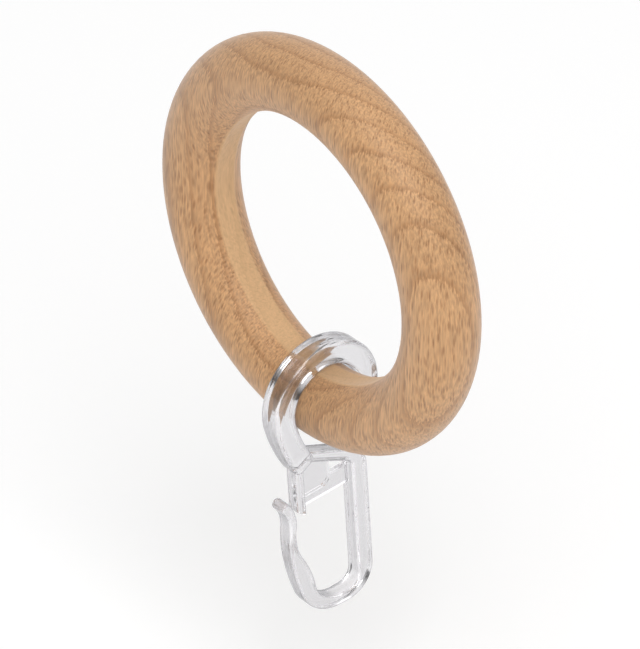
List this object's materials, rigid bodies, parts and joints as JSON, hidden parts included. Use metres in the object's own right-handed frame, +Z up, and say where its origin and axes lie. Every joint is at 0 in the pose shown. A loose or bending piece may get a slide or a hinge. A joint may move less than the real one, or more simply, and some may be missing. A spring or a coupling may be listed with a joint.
{
  "type": "curtain ring with hook",
  "caption": "Turned beech curtain ring, round in section, with a clear moulded pleat hook clipped over its wood, for hanging a curtain's heading tape from a pole.",
  "frame": {"origin": "centre of the ring's bore, halfway across its width", "axes": "+Z up as it hangs, +Y along the bore and the pole, +X across, along the swing axis of the hook"},
  "size_m": [0.058, 0.0174, 0.0875],
  "materials": {
    "beech": "fine-sanded beech with a silky clear coat",
    "clear_plastic": "crystal-clear moulded plastic"
  },
  "bodies": {
    "ring": {"wooden_ring": "beech"},
    "hook": {"clip_hook": "clear_plastic"}
  },
  "joints": [
    {"name": "hook_swing", "type": "hinge", "parent": "ring", "child": "hook", "pos_m": [0, 0, -0.0239], "axis": [1, 0, 0], "continuous": true}
  ]
}
